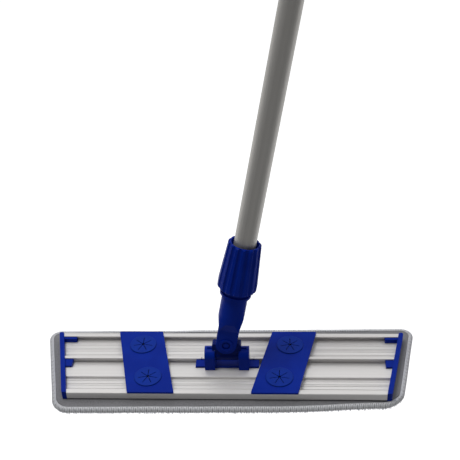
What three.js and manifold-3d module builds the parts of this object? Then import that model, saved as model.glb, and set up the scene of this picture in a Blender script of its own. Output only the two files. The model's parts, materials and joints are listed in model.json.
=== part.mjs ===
// Flat mop: an aluminium mop frame with a two-way swivel joint, a telescopic-pole clamp
// and a hook-and-loop microfibre pad.
//
// Millimetres, +Z up. The origin is on the floor, under the middle of the frame.
// X runs along the frame and +Y points to its long edge. The pad lies flat on the floor and
// the pole leans back and to the right, as it stands when somebody has just let go of it.
import * as THREE from 'three';
import { mergeVertices } from 'three/addons/utils/BufferGeometryUtils.js';
import Module from 'manifold-3d';

const wasm = await Module();
wasm.setup();

// ---------------------------------------------------------------- driving sizes

const FRAME_BACK = 424;        // length of the frame's long edge, over the end caps
const FRAME_DEPTH = 106;       // long edge to short edge
const END_SLANT = 0.22;        // how far an end moves inwards per millimetre of depth
const RIM_TOP = 19;            // top of the frame's rims above the floor
const WEB_BOTTOM = 10;         // underside of the extruded frame
const POLE_RADIUS = 12.5;
const POLE_LENGTH = 1360;
const LEAN_BACK = 6.91;        // degrees, about the hinge pin
const LEAN_RIGHT = 10.95;      // degrees, about the swing pin

const LOOSE = 0.3;             // gap between pieces that are only put together
const REST = 0.1;              // gap left under a piece that rests on another
const RUNNING = 0.08;          // radial clearance of a pin in the hole it turns in

const ROUND = 48;              // facets round a large turned piece
const SMALL_ROUND = 24;        // facets round a pin

const HALF_DEPTH = FRAME_DEPTH / 2;
const BACK_HALF = FRAME_BACK / 2;

// ---------------------------------------------------------------- materials

function plastic(color, roughness = 0.42) {
  return new THREE.MeshStandardMaterial({ color, roughness, metalness: 0 });
}

function metal(color, roughness) {
  return new THREE.MeshStandardMaterial({ color, roughness, metalness: 1 });
}

function fabric(color) {
  return new THREE.MeshStandardMaterial({ color, roughness: 0.95, metalness: 0 });
}

const BLUE = 0x0c2a9c;
const bluePlastic = () => plastic(BLUE);
const blueRubber = () => plastic(0x0e2f9f, 0.6);
const frameAluminium = () => metal(0xd9d8d4, 0.34);
const poleAluminium = () => metal(0x8f8d88, 0.38);
const steel = () => metal(0xb8bbc0, 0.28);

// ---------------------------------------------------------------- solids

// A closed manifold solid from any closed three.js geometry.
function solid(geometry) {
  const bare = new THREE.BufferGeometry();
  bare.setAttribute('position', geometry.getAttribute('position'));
  if (geometry.index) bare.setIndex(geometry.index);
  const merged = mergeVertices(bare, 1e-4);
  const vertProperties = new Float32Array(merged.getAttribute('position').array);
  const triVerts = new Uint32Array(merged.index.array);
  return new wasm.Manifold(new wasm.Mesh({ numProp: 3, vertProperties, triVerts }));
}

// A named mesh from a manifold solid.
function piece(name, body, material) {
  const data = body.getMesh();
  const geometry = new THREE.BufferGeometry();
  geometry.setAttribute('position', new THREE.BufferAttribute(new Float32Array(data.vertProperties), 3));
  geometry.setIndex(new THREE.BufferAttribute(new Uint32Array(data.triVerts), 1));
  geometry.computeVertexNormals();
  const mesh = new THREE.Mesh(geometry, material);
  mesh.name = name;
  return mesh;
}

function unite(bodies) {
  return bodies.reduce((sum, body) => sum.add(body));
}

// A box given by its low and high corners.
function box([x0, y0, z0], [x1, y1, z1]) {
  const geometry = new THREE.BoxGeometry(x1 - x0, y1 - y0, z1 - z0);
  geometry.translate((x0 + x1) / 2, (y0 + y1) / 2, (z0 + z1) / 2);
  return solid(geometry);
}

function shapeOf(points) {
  return new THREE.Shape(points.map(([a, b]) => new THREE.Vector2(a, b)));
}

// A closed outline whose corners are rounded, one radius for each corner.
function roundedShape(points, radii) {
  const shape = new THREE.Shape();
  points.forEach((corner, i) => {
    const here = new THREE.Vector2(...corner);
    const before = new THREE.Vector2(...points[(i + points.length - 1) % points.length]);
    const after = new THREE.Vector2(...points[(i + 1) % points.length]);
    const toBefore = before.sub(here).normalize();
    const toAfter = after.sub(here).normalize();
    const halfAngle = Math.acos(toBefore.dot(toAfter)) / 2;
    const setback = radii[i] / Math.tan(halfAngle);
    const start = here.clone().addScaledVector(toBefore, setback);
    const end = here.clone().addScaledVector(toAfter, setback);
    if (i === 0) shape.moveTo(start.x, start.y);
    else shape.lineTo(start.x, start.y);
    shape.quadraticCurveTo(here.x, here.y, end.x, end.y);
  });
  shape.closePath();
  return shape;
}

// A plan outline (X, Y) raised from z0 to z1.
function raised(shape, z0, z1, curveSegments = 6) {
  const geometry = new THREE.ExtrudeGeometry(shape, {
    depth: z1 - z0, bevelEnabled: false, curveSegments,
  });
  geometry.translate(0, 0, z0);
  return solid(geometry);
}

// A section (Y, Z) drawn out along X from x0 to x1.
function alongX(shape, x0, x1, curveSegments = 8) {
  const geometry = new THREE.ExtrudeGeometry(shape, {
    depth: x1 - x0, bevelEnabled: false, curveSegments,
  });
  geometry.rotateX(Math.PI / 2);
  geometry.rotateZ(Math.PI / 2);
  geometry.translate(x0, 0, 0);
  return solid(geometry);
}

// A front view (X, Z) drawn out along Y from y0 to y1.
function alongY(shape, y0, y1, curveSegments = 8) {
  const geometry = new THREE.ExtrudeGeometry(shape, {
    depth: y1 - y0, bevelEnabled: false, curveSegments,
  });
  geometry.rotateX(Math.PI / 2);
  geometry.translate(0, y1, 0);
  return solid(geometry);
}

// A turned piece about Z; the profile is a list of [radius, height].
function turned(profile, segments = ROUND) {
  const points = profile.map(([radius, height]) => new THREE.Vector2(radius, height));
  const geometry = new THREE.LatheGeometry(points, segments);
  geometry.rotateX(Math.PI / 2);
  const body = solid(geometry);
  return body.volume() < 0 ? solid(flipped(geometry)) : body;
}

function flipped(geometry) {
  const index = geometry.index.array;
  for (let i = 0; i < index.length; i += 3) {
    [index[i], index[i + 1]] = [index[i + 1], index[i]];
  }
  return geometry;
}

// A round bar about Z from z0 to z1.
function rod(radius, z0, z1, segments = ROUND) {
  const geometry = new THREE.CylinderGeometry(radius, radius, z1 - z0, segments);
  geometry.rotateX(Math.PI / 2);
  geometry.translate(0, 0, (z0 + z1) / 2);
  return solid(geometry);
}

function tube(outer, inner, z0, z1, segments = ROUND) {
  return rod(outer, z0, z1, segments).subtract(rod(inner, z0 - 1, z1 + 1, segments));
}

// A round bar along X or along Y, from a to b, at height z and depth or width 0.
function rodAlongX(radius, a, b, z, segments = SMALL_ROUND) {
  return rod(radius, a, b, segments).rotate([0, 90, 0]).translate([0, 0, z]);
}

function rodAlongY(radius, a, b, z, segments = SMALL_ROUND) {
  return rod(radius, -b, -a, segments).rotate([90, 0, 0]).translate([0, 0, z]);
}

// ---------------------------------------------------------------- the tapered plan

// Half of the length at depth y of an outline whose half length at the long edge is backHalf.
function sideAt(y, backHalf) {
  return backHalf - END_SLANT * (HALF_DEPTH - y);
}

// The four plan corners between two depths, anticlockwise from the front left.
function taperedPlan(backHalf, y0, y1) {
  return [
    [-sideAt(y0, backHalf), y0],
    [sideAt(y0, backHalf), y0],
    [sideAt(y1, backHalf), y1],
    [-sideAt(y1, backHalf), y1],
  ];
}

// ---------------------------------------------------------------- frame extrusion

const CAP_THICKNESS = 5.5;
const PROFILE_HALF = BACK_HALF - CAP_THICKNESS - REST;
const WEB_TOP = WEB_BOTTOM + 2;
const WALL = 2.4;              // thickness of the two outer walls
const LIP = 6.6;               // how far a rim's lip reaches in from the outside
const LIP_THICKNESS = 1.7;
const RIDGE_HEIGHT = 0.5;
const RIDGE_WIDTH = 1.2;

const RAIL_BACK = 10.3;        // outer face of the rail's tall back wall
const RAIL_LIP = 6.4;          // front edge of the lip on that wall
const RAIL_FRONT = -9.0;       // front face of the rail's low front wall
const RAIL_FRONT_LIP = -5.8;   // back edge of the lip on that wall
const RAIL_WALL = 1.9;
const STEP_FRONT = -21.5;      // the lip runs forward as a level step down to here
const STEP_TOP = RIM_TOP - 3.8;
const STEP_LIP = 1.2;          // thickness of the step's top
const BAR_TOP = RIM_TOP - 1.5; // top of the bar that slides in the rail

const BACK_RIDGES = [16, 18.5, 21, 27, 29.5, 32, 38, 40.5];
const FRONT_RIDGES = [-25, -30, -32.5, -38, -40.5];

// The extrusion's section as one closed outline (Y, Z), clockwise from the front bottom corner.
function frameSection() {
  const inner = HALF_DEPTH - WALL;
  const lipEdge = HALF_DEPTH - LIP;
  const lipBottom = RIM_TOP - LIP_THICKNESS;
  const stepBottom = STEP_TOP - STEP_LIP;
  const ridge = (y) => [
    [y - RIDGE_WIDTH / 2, WEB_TOP], [y - RIDGE_WIDTH / 4, WEB_TOP + RIDGE_HEIGHT],
    [y + RIDGE_WIDTH / 4, WEB_TOP + RIDGE_HEIGHT], [y + RIDGE_WIDTH / 2, WEB_TOP],
  ];
  const chamfer = 0.6;
  return [
    [-HALF_DEPTH + chamfer, WEB_BOTTOM],
    [-HALF_DEPTH, WEB_BOTTOM + chamfer],
    [-HALF_DEPTH, RIM_TOP - chamfer],
    [-HALF_DEPTH + chamfer, RIM_TOP],
    [-lipEdge, RIM_TOP],
    [-lipEdge, lipBottom],
    [-inner, lipBottom],
    [-inner, WEB_TOP],
    ...[...FRONT_RIDGES].reverse().flatMap(ridge),
    [STEP_FRONT, WEB_TOP],
    [STEP_FRONT, STEP_TOP - 0.4],
    [STEP_FRONT + 0.4, STEP_TOP],
    [RAIL_FRONT_LIP, STEP_TOP],
    [RAIL_FRONT_LIP, stepBottom],
    [RAIL_FRONT + RAIL_WALL, stepBottom],
    [RAIL_FRONT + RAIL_WALL, WEB_TOP],
    [RAIL_BACK - RAIL_WALL, WEB_TOP],
    [RAIL_BACK - RAIL_WALL, lipBottom],
    [RAIL_LIP, lipBottom],
    [RAIL_LIP, RIM_TOP - 0.4],
    [RAIL_LIP + 0.4, RIM_TOP],
    [RAIL_BACK, RIM_TOP],
    [RAIL_BACK, WEB_TOP],
    ...BACK_RIDGES.flatMap(ridge),
    [inner, WEB_TOP],
    [inner, lipBottom],
    [lipEdge, lipBottom],
    [lipEdge, RIM_TOP],
    [HALF_DEPTH - chamfer, RIM_TOP],
    [HALF_DEPTH, RIM_TOP - chamfer],
    [HALF_DEPTH, WEB_BOTTOM + chamfer],
    [HALF_DEPTH - chamfer, WEB_BOTTOM],
  ];
}

const LOCK_PIN_X = 31;         // the two lock pins hold the joint in the middle of the rail
const LOCK_PIN_RADIUS = 1.2;
const LOCK_PIN_Y = RAIL_LIP + 1.0;

function lockPin(side) {
  return rod(LOCK_PIN_RADIUS, WEB_TOP + 1.2, RIM_TOP + 0.3, 16)
    .translate([side * LOCK_PIN_X, LOCK_PIN_Y, 0]);
}

function lockPinHole(side) {
  return rod(LOCK_PIN_RADIUS + REST, WEB_TOP + 1, RIM_TOP + 2, 16)
    .translate([side * LOCK_PIN_X, LOCK_PIN_Y, 0]);
}

function frameProfile() {
  const bar = alongX(shapeOf(frameSection()), -BACK_HALF, BACK_HALF);
  const plan = raised(shapeOf(taperedPlan(PROFILE_HALF, -HALF_DEPTH - 1, HALF_DEPTH + 1)), 0, RIM_TOP + 5);
  const chamber = box([-BACK_HALF, STEP_FRONT + STEP_LIP, WEB_TOP], [BACK_HALF, RAIL_FRONT, STEP_TOP - STEP_LIP]);
  return bar.intersect(plan).subtract(chamber).subtract(lockPinHole(-1)).subtract(lockPinHole(1));
}

// ---------------------------------------------------------------- end caps

const CAP_TOP = RIM_TOP + 1.4;
const CAP_BOTTOM = WEB_BOTTOM - 0.4;
const RIM_TONGUE = 16;         // how far the tongue runs into the back rim's groove
const RAIL_TONGUE = 8.5;       // and the tab into the rail

// The bar section that slides in the rail, shared by the swivel base and the cap tabs.
function railFoot() {
  return shapeOf([
    [RAIL_FRONT + RAIL_WALL + LOOSE, WEB_TOP + REST],
    [RAIL_BACK - RAIL_WALL - LOOSE, WEB_TOP + REST],
    [RAIL_BACK - RAIL_WALL - LOOSE, RIM_TOP - LIP_THICKNESS - LOOSE],
    [RAIL_LIP - LOOSE, RIM_TOP - LIP_THICKNESS - LOOSE],
    [RAIL_LIP - LOOSE, BAR_TOP],
    [RAIL_FRONT_LIP + LOOSE, BAR_TOP],
    [RAIL_FRONT_LIP + LOOSE, STEP_TOP - STEP_LIP - LOOSE],
    [RAIL_FRONT + RAIL_WALL + LOOSE, STEP_TOP - STEP_LIP - LOOSE],
  ]);
}

// The back rim's groove is a square slot under the lip; the tongue fills it and shows in front of it.
function rimTongue() {
  return shapeOf([
    [HALF_DEPTH - WALL - LOOSE, WEB_TOP + REST + RIDGE_HEIGHT],
    [HALF_DEPTH - WALL - LOOSE, RIM_TOP - LIP_THICKNESS - LOOSE],
    [HALF_DEPTH - LIP - LOOSE, RIM_TOP - LIP_THICKNESS - LOOSE],
    [HALF_DEPTH - LIP - LOOSE, RIM_TOP - 1],
    [HALF_DEPTH - LIP - 3.6, RIM_TOP - 1],
    [HALF_DEPTH - LIP - 3.6, WEB_TOP + REST + RIDGE_HEIGHT],
  ]);
}

function frontTongue() {
  return shapeOf([
    [-HALF_DEPTH + WALL + LOOSE, WEB_TOP + REST + RIDGE_HEIGHT],
    [-HALF_DEPTH + WALL + LOOSE, RIM_TOP - LIP_THICKNESS - LOOSE],
    [-HALF_DEPTH + LIP - 1, RIM_TOP - LIP_THICKNESS - LOOSE],
    [-HALF_DEPTH + LIP - 1, WEB_TOP + REST + RIDGE_HEIGHT],
  ]);
}

// The right-hand cap; the left one is its mirror image.
function endCap() {
  const inner = (y) => sideAt(y, BACK_HALF - CAP_THICKNESS);
  const outer = (y) => sideAt(y, BACK_HALF);
  const plan = roundedShape([
    [inner(-HALF_DEPTH), -HALF_DEPTH], [outer(-HALF_DEPTH), -HALF_DEPTH],
    [outer(HALF_DEPTH), HALF_DEPTH], [inner(HALF_DEPTH), HALF_DEPTH],
  ], [0.6, 2, 2.5, 2]);
  const plate = raised(plan, CAP_BOTTOM, CAP_TOP);
  const behind = raised(shapeOf([
    [0, -HALF_DEPTH], [inner(-HALF_DEPTH) + 1, -HALF_DEPTH],
    [inner(HALF_DEPTH) + 1, HALF_DEPTH], [0, HALF_DEPTH],
  ]), 0, CAP_TOP + 5);
  const reach = (section, y, length) => alongX(section, sideAt(y, PROFILE_HALF) - length, BACK_HALF)
    .intersect(behind);
  return unite([
    plate,
    reach(rimTongue(), HALF_DEPTH - LIP, RIM_TONGUE),
    reach(railFoot(), 0, RAIL_TONGUE),
    reach(frontTongue(), -HALF_DEPTH + LIP, RAIL_TONGUE),
  ]);
}

// ---------------------------------------------------------------- hook strips

const HOOK_THICKNESS = 0.8;
const HOOK_WIDTH = 30;
const HOOK_INSET = 4;          // from the frame's long and short edges
const HOOK_END_GAP = 12;

function hookStrip(y0, y1) {
  const plan = roundedShape(taperedPlan(BACK_HALF - HOOK_END_GAP, y0, y1), [3, 3, 3, 3]);
  return raised(plan, WEB_BOTTOM - REST - HOOK_THICKNESS, WEB_BOTTOM - REST, 3);
}

// ---------------------------------------------------------------- cloth-grip plates

const PLATE_WIDTH = 53.8;
const PLATE_THICKNESS = 2.4;
const PLATE_BOTTOM = RIM_TOP + REST;
const PLATE_TOP = PLATE_BOTTOM + PLATE_THICKNESS;
const PLATE_OVERHANG = 0.8;
const LEFT_PLATE_X = -BACK_HALF * 0.46;   // middle of each plate, halfway from front to back
const RIGHT_PLATE_X = BACK_HALF * 0.32;
const STAR_RADIUS = 16;
const STAR_HOLE = 13;          // radius of the plate's hole under a star grip
const STAR_SPACING = FRAME_DEPTH * 0.533;
const STAR_THICKNESS = 1.1;
const STAR_SLITS = 7;
const SLIT_WIDTH = 0.7;
const SLIT_LENGTH = STAR_HOLE - 1.5;
const STAR_EYE = 1.4;          // radius of the small hole the slits meet in
const HOOK_DEPTH = 1.6;        // thickness of a plate's hooks
const HOOK_FROM_SIDE = 8;      // a hook is this much shorter than the plate at each side

// A plate's hook under a rim's lip; side is +1 at the long edge and -1 at the short edge.
function plateHook(side, x, halfLength) {
  const gapTop = RIM_TOP - LIP_THICKNESS - LOOSE;
  const reach = HALF_DEPTH - WALL - LOOSE;
  const lipEdge = HALF_DEPTH - LIP - LOOSE;
  const section = [
    [lipEdge - 2, PLATE_BOTTOM + 0.5], [lipEdge - 2, gapTop - HOOK_DEPTH],
    [reach, gapTop - HOOK_DEPTH], [reach, gapTop], [lipEdge, gapTop], [lipEdge, PLATE_BOTTOM + 0.5],
  ].map(([y, z]) => [side * y, z]);
  return alongX(shapeOf(side > 0 ? section : section.reverse()), x - halfLength, x + halfLength);
}

// side is -1 for the left plate and +1 for the right one: they slant opposite ways.
function gripPlate(centreX, side) {
  const middle = (y) => centreX + side * END_SLANT * y;
  const y0 = -HALF_DEPTH - PLATE_OVERHANG;
  const y1 = HALF_DEPTH;
  const plan = roundedShape([
    [middle(y0) - PLATE_WIDTH / 2, y0], [middle(y0) + PLATE_WIDTH / 2, y0],
    [middle(y1) + PLATE_WIDTH / 2, y1], [middle(y1) - PLATE_WIDTH / 2, y1],
  ], [1.5, 1.5, 1.5, 1.5]);
  let plate = raised(plan, PLATE_BOTTOM, PLATE_TOP, 3);
  for (const end of [-1, 1]) {
    plate = plate.add(plateHook(end, middle(end * HALF_DEPTH), PLATE_WIDTH / 2 - HOOK_FROM_SIDE));
    plate = plate.subtract(rod(STAR_HOLE, 0, PLATE_TOP + 5, 36).translate(starCentre(centreX, side, end)));
  }
  return plate;
}

function starCentre(centreX, side, end) {
  const y = end * STAR_SPACING / 2;
  return [centreX + side * END_SLANT * y, y, 0];
}

// A soft disc with radial slits: a cloth corner is pushed down through the petals and held.
function starGrip(centreX, side, end) {
  const cap = turned([
    [0, PLATE_TOP + REST], [STAR_RADIUS, PLATE_TOP + REST],
    [STAR_RADIUS, PLATE_TOP + STAR_THICKNESS - 0.4], [STAR_RADIUS - 0.6, PLATE_TOP + STAR_THICKNESS],
    [0, PLATE_TOP + STAR_THICKNESS],
  ], 36);
  let disc = cap.add(rod(STAR_HOLE - LOOSE, PLATE_BOTTOM, PLATE_TOP + 0.5, 36));
  for (let i = 0; i < STAR_SLITS; i++) {
    const slit = box([0, -SLIT_WIDTH / 2, 0], [SLIT_LENGTH, SLIT_WIDTH / 2, PLATE_TOP + 5]);
    disc = disc.subtract(slit.rotate([0, 0, 90 + i * 360 / STAR_SLITS]));
  }
  return disc.subtract(rod(STAR_EYE, 0, PLATE_TOP + 5, 14)).translate(starCentre(centreX, side, end));
}

// ---------------------------------------------------------------- swivel joint

const HINGE_Z = RIM_TOP + 12.5; // height of the hinge pin
const EAR_RADIUS = 10;
const EAR_INNER = 14;          // the ears stand from here ...
const EAR_OUTER = EAR_INNER + 12; // ... to here, on each side
const EAR_BOTTOM = STEP_TOP + LOOSE;
const BASE_HALF = 37.5;
const HINGE_PIN_RADIUS = 3;
const SWING_UP = 19;           // swing pin above hinge pin
const SWING_PIN_RADIUS = 2.8;
const YOKE_HALF = EAR_INNER - LOOSE;
const BARREL_RADIUS = 6.4;
const SHOULDER_HALF = EAR_INNER + 3;
const LUG_HALF = 5.5;          // half the thickness of the yoke where the fork grips it
const LUG_RADIUS = 9;

function ear(side) {
  const profile = new THREE.Shape();
  profile.moveTo(-EAR_RADIUS, EAR_BOTTOM);
  profile.lineTo(RAIL_LIP - LOOSE, EAR_BOTTOM);
  profile.lineTo(RAIL_LIP - LOOSE, RIM_TOP + LOOSE);
  profile.lineTo(EAR_RADIUS, RIM_TOP + LOOSE);
  profile.lineTo(EAR_RADIUS, HINGE_Z);
  profile.absarc(0, HINGE_Z, EAR_RADIUS, 0, Math.PI, false);
  const low = side > 0 ? EAR_INNER : -EAR_OUTER;
  const block = alongX(profile, low, low + EAR_OUTER - EAR_INNER, 14);
  const pocket = box([-3.2, -3, HINGE_Z + 8.4], [3.2, 0.6, HINGE_Z + 12])
    .translate([side * (EAR_INNER + EAR_OUTER) / 2, 0, 0]);
  return block.subtract(pocket);
}

function jointBase() {
  const slideBar = alongX(railFoot(), -BASE_HALF, BASE_HALF);
  const body = unite([slideBar, ear(-1), ear(1)]);
  return body
    .subtract(rodAlongX(HINGE_PIN_RADIUS + RUNNING, -EAR_OUTER - 1, EAR_OUTER + 1, HINGE_Z))
    .subtract(lockPinHole(-1))
    .subtract(lockPinHole(1));
}

function hingePin() {
  return rodAlongX(HINGE_PIN_RADIUS, -EAR_OUTER + 0.6, EAR_OUTER - 0.6, HINGE_Z);
}

// The cross piece, drawn about the hinge pin: hinge hole along X, swing hole along Y.
function yoke() {
  const barrel = rodAlongX(BARREL_RADIUS, -YOKE_HALF, YOKE_HALF, 0, 32);
  const neck = box([-YOKE_HALF, -LUG_HALF, 0], [YOKE_HALF, LUG_HALF, SWING_UP - 3]);
  const shoulders = alongY(roundedShape([
    [-SHOULDER_HALF, 0], [SHOULDER_HALF, 0], [SHOULDER_HALF, SWING_UP - 1.5], [-SHOULDER_HALF, SWING_UP - 1.5],
  ], [0.5, 0.5, 2.5, 2.5]), -LUG_HALF, LUG_HALF, 4)
    .subtract(rodAlongX(EAR_RADIUS + 0.6, -SHOULDER_HALF - 1, -YOKE_HALF, 0, 48))
    .subtract(rodAlongX(EAR_RADIUS + 0.6, YOKE_HALF, SHOULDER_HALF + 1, 0, 48));
  const lug = rodAlongY(LUG_RADIUS, -LUG_HALF, LUG_HALF, SWING_UP, 36);
  return unite([barrel, neck, shoulders, lug])
    .subtract(rodAlongX(HINGE_PIN_RADIUS + RUNNING, -YOKE_HALF - 1, YOKE_HALF + 1, 0))
    .subtract(rodAlongY(SWING_PIN_RADIUS + RUNNING, -LUG_HALF - 1, LUG_HALF + 1, SWING_UP));
}

// ---------------------------------------------------------------- fork and pole socket
// From here on the pieces are drawn about the swing pin, with Z along the pole.

const PRONG_OUT = 9.7;         // outer face of a prong
const FORK_HALF = 12;          // half the width of the flat fork
const SOCKET_RADIUS = POLE_RADIUS + 2.5;
const BOSS_RADIUS = 8;
const BOSS_PROUD = 1.3;
const SLOT_TOP = 18;
const FLARE_START = 22;
const FLARE_END = 35;
const FLANGE_Z = 65;
const SOCKET_TOP = 97;         // end of the threaded neck
const BORE_CLEARANCE = 0.3;

const PIN_HEAD_RADIUS = 3.3;
const PIN_HEAD = 1.3;
const RECESS_RADIUS = 4.9;     // the pin's head stands free in a round recess in the boss
const RECESS_DEEP = 0.8;       // below the prong's outer face

function forkFront() {
  const outline = new THREE.Shape();
  outline.absarc(0, 0, FORK_HALF, Math.PI, 2 * Math.PI, false);
  outline.lineTo(FORK_HALF, FLARE_START);
  outline.lineTo(SOCKET_RADIUS, FLARE_END);
  outline.lineTo(SOCKET_RADIUS, FLANGE_Z + 3);
  outline.lineTo(-SOCKET_RADIUS, FLANGE_Z + 3);
  outline.lineTo(-SOCKET_RADIUS, FLARE_END);
  outline.lineTo(-FORK_HALF, FLARE_START);
  return outline;
}

function forkSide() {
  return shapeOf([
    [-PRONG_OUT, -FORK_HALF - 1], [PRONG_OUT, -FORK_HALF - 1], [PRONG_OUT, FLARE_START - 4],
    [SOCKET_RADIUS, FLARE_END - 2], [SOCKET_RADIUS, FLANGE_Z + 3],
    [-SOCKET_RADIUS, FLANGE_Z + 3], [-SOCKET_RADIUS, FLARE_END - 2], [-PRONG_OUT, FLARE_START - 4],
  ]);
}

// Coarse rings stand for the screw thread the clamp nut runs on.
const THREAD_PITCH = 4;
const THREAD_ROOT = POLE_RADIUS + 3.5;
const THREAD_CREST = POLE_RADIUS + 4.5;
const FLANGE_RADIUS = POLE_RADIUS + 5.5;

function threadedNeck() {
  const profile = [[0, FLANGE_Z], [THREAD_ROOT, FLANGE_Z]];
  for (let z = FLANGE_Z + 9; z + THREAD_PITCH <= SOCKET_TOP; z += THREAD_PITCH) {
    profile.push([THREAD_ROOT, z], [THREAD_CREST, z + 1], [THREAD_CREST, z + 2], [THREAD_ROOT, z + 3]);
  }
  profile.push([THREAD_ROOT, SOCKET_TOP], [0, SOCKET_TOP]);
  return turned(profile);
}

function socket() {
  const body = alongY(forkFront(), -SOCKET_RADIUS - 1, SOCKET_RADIUS + 1, 14)
    .intersect(alongX(forkSide(), -SOCKET_RADIUS - 1, SOCKET_RADIUS + 1))
    .intersect(rod(SOCKET_RADIUS, -FORK_HALF - 1, FLANGE_Z + 4));
  const boss = rodAlongY(BOSS_RADIUS, -PRONG_OUT - BOSS_PROUD, PRONG_OUT + BOSS_PROUD, 0, 36);
  const flange = rod(FLANGE_RADIUS, FLANGE_Z, FLANGE_Z + 3);
  const slot = box([-SOCKET_RADIUS - 2, -LUG_HALF - LOOSE, -FORK_HALF - 3],
    [SOCKET_RADIUS + 2, LUG_HALF + LOOSE, SLOT_TOP]);
  const headRecess = (side) => rodAlongY(RECESS_RADIUS,
    side > 0 ? PRONG_OUT - RECESS_DEEP : -PRONG_OUT - 2,
    side > 0 ? PRONG_OUT + 2 : -PRONG_OUT + RECESS_DEEP, 0);
  return unite([body, boss, flange, threadedNeck()])
    .subtract(slot)
    .subtract(rod(POLE_RADIUS + BORE_CLEARANCE, POLE_START - 2, SOCKET_TOP + 1))
    .subtract(rodAlongY(SWING_PIN_RADIUS + RUNNING, -PRONG_OUT - 3, PRONG_OUT + 3, 0))
    .subtract(headRecess(-1))
    .subtract(headRecess(1));
}

function swingPin() {
  const shaft = rodAlongY(SWING_PIN_RADIUS, -PRONG_OUT, PRONG_OUT, 0);
  const seat = PRONG_OUT - RECESS_DEEP + RUNNING;
  const head = (side) => rodAlongY(PIN_HEAD_RADIUS,
    side > 0 ? seat : -seat - PIN_HEAD, side > 0 ? seat + PIN_HEAD : -seat, 0);
  return unite([shaft, head(-1), head(1)]);
}

// ---------------------------------------------------------------- clamp

const NUT_BOTTOM = 74.5;
const NUT_TOP = 131.5;
const NUT_TAPER_FROM = NUT_BOTTOM + 9;
const NUT_BOTTOM_RADIUS = POLE_RADIUS + 10.1;
const NUT_TOP_RADIUS = POLE_RADIUS + 6.4;
const NUT_MOUTH = POLE_RADIUS + 3.1; // radius of the open mouth round the pole
const FLUTES = 14;
const FLUTE_RADIUS = 3.4;
const FLUTE_OUT = 1.3;         // how far a flute's axis lies outside the nut
const CONE_BOTTOM = SOCKET_TOP + 0.5;
const CONE_TOP = 124;
const CONE_WIDE = POLE_RADIUS + 4.5;
const CONE_NARROW = POLE_RADIUS + 2.1;
const CONE_SLOTS = 6;

// A split wedge ring: the nut's cone squeezes it on to the pole.
function clampCone() {
  let ring = turned([
    [0, CONE_BOTTOM], [CONE_WIDE, CONE_BOTTOM], [CONE_WIDE, CONE_BOTTOM + 4],
    [CONE_NARROW, CONE_TOP], [0, CONE_TOP],
  ]).subtract(rod(POLE_RADIUS + BORE_CLEARANCE, CONE_BOTTOM - 1, CONE_TOP + 1));
  for (let i = 0; i < CONE_SLOTS; i++) {
    const slot = box([0, -0.7, CONE_BOTTOM + 7], [CONE_WIDE + 2, 0.7, CONE_TOP + 2]);
    ring = ring.subtract(slot.rotate([0, 0, i * 360 / CONE_SLOTS]));
  }
  return ring;
}

function clampNut() {
  const outside = turned([
    [0, NUT_BOTTOM], [NUT_BOTTOM_RADIUS - 0.6, NUT_BOTTOM], [NUT_BOTTOM_RADIUS, NUT_BOTTOM + 1],
    [NUT_BOTTOM_RADIUS, NUT_TAPER_FROM], [NUT_TOP_RADIUS, NUT_TOP - 1.2],
    [NUT_TOP_RADIUS - 1.2, NUT_TOP], [0, NUT_TOP],
  ], 68);
  const inside = turned([
    [0, NUT_BOTTOM - 1], [THREAD_CREST + LOOSE, NUT_BOTTOM - 1], [THREAD_CREST + LOOSE, CONE_BOTTOM + 5],
    [CONE_NARROW + LOOSE, CONE_TOP + 1], [CONE_NARROW + LOOSE, CONE_TOP + 2],
    [NUT_MOUTH, NUT_TOP - 5], [NUT_MOUTH, NUT_TOP + 1], [0, NUT_TOP + 1],
  ]);
  const taper = Math.atan((NUT_BOTTOM_RADIUS - NUT_TOP_RADIUS) / (NUT_TOP - NUT_TAPER_FROM)) * 180 / Math.PI;
  const flute = rod(FLUTE_RADIUS, NUT_BOTTOM - NUT_TAPER_FROM - 2, NUT_TOP - NUT_TAPER_FROM + 2, 12)
    .rotate([0, -taper, 0])
    .translate([NUT_BOTTOM_RADIUS + FLUTE_OUT, 0, NUT_TAPER_FROM]);
  let nut = outside.subtract(inside);
  for (let i = 0; i < FLUTES; i++) {
    nut = nut.subtract(flute.rotate([0, 0, i * 360 / FLUTES]));
  }
  return nut;
}

// ---------------------------------------------------------------- pole and hand grip

const POLE_START = 41;
const POLE_WALL = 1.2;
const POLE_END = POLE_START + POLE_LENGTH;
const PLUG_FLANGE = 1.5;
const GRIP_LENGTH = 130;
const GRIP_RADIUS = POLE_RADIUS + 3.5;
const CUP_HEIGHT = 9;          // the closed cup over the end of the pole
const TAB_HALF = 10;           // half the width of the hanging tab
const TAB_THICKNESS = 6;
const EYE_RADIUS = 5.5;
const EYE_ABOVE_CUP = 13;

function polePlug() {
  const inside = POLE_RADIUS - POLE_WALL - LOOSE;
  return rod(POLE_RADIUS - 0.2, POLE_START - PLUG_FLANGE, POLE_START - REST)
    .add(rod(inside, POLE_START - 1, POLE_START + 18));
}

// A moulded sleeve with shallow finger waves.
function handGrip() {
  const start = POLE_END - GRIP_LENGTH;
  const profile = [[0, start], [GRIP_RADIUS - 1.6, start], [GRIP_RADIUS, start + 3]];
  const waves = 5;
  const pitch = (GRIP_LENGTH - 12) / waves;
  for (let i = 0; i < waves; i++) {
    const z = start + 5 + i * pitch;
    profile.push([GRIP_RADIUS, z + 2], [GRIP_RADIUS - 1.1, z + pitch * 0.35]);
    profile.push([GRIP_RADIUS - 1.1, z + pitch * 0.65], [GRIP_RADIUS, z + pitch - 2]);
  }
  profile.push([GRIP_RADIUS, POLE_END - 1], [0, POLE_END - 1]);
  return turned(profile).subtract(rod(POLE_RADIUS + REST, start - 1, POLE_END + 1));
}

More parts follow.
